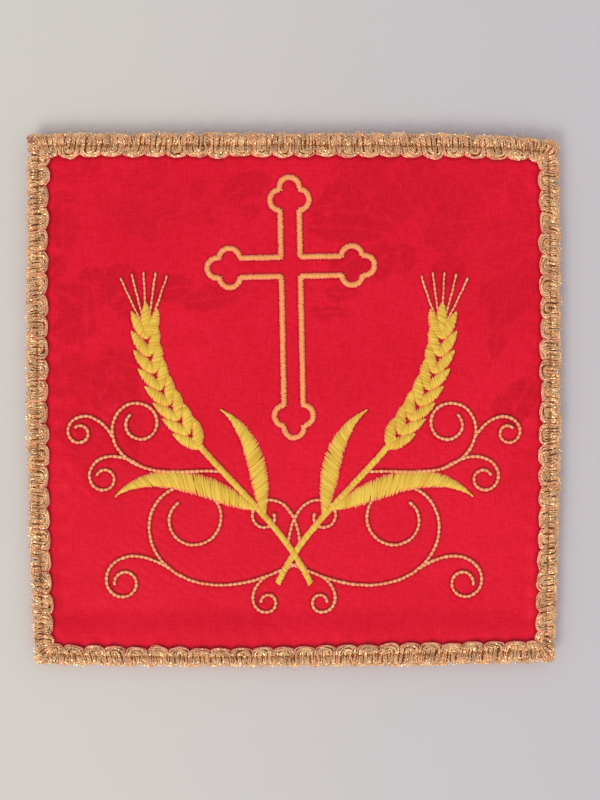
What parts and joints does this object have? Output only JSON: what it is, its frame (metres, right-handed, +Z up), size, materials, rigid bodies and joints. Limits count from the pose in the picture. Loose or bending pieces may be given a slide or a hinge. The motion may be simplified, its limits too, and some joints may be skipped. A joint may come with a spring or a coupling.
{
  "type": "chalice pall",
  "caption": "Stiff square pall of red damask for covering a chalice, edged with gold gimp braid and embroidered in gold with a budded cross over wheat sprays.",
  "frame": {"origin": "middle of the underside, on the surface the pall lies on", "axes": "+X to the right of the face, +Y to its head, +Z up out of the face"},
  "size_m": [0.16, 0.16, 0.005],
  "materials": {
    "damask": "woven satin damask",
    "gold_braid": "metallic gimp cord",
    "gold_thread": "satin stitch"
  },
  "bodies": {
    "root": {"pall_panel": "damask", "gimp_braid": "gold_braid", "cross_embroidery": "gold_thread", "spray_embroidery": "gold_thread"}
  },
  "joints": []
}
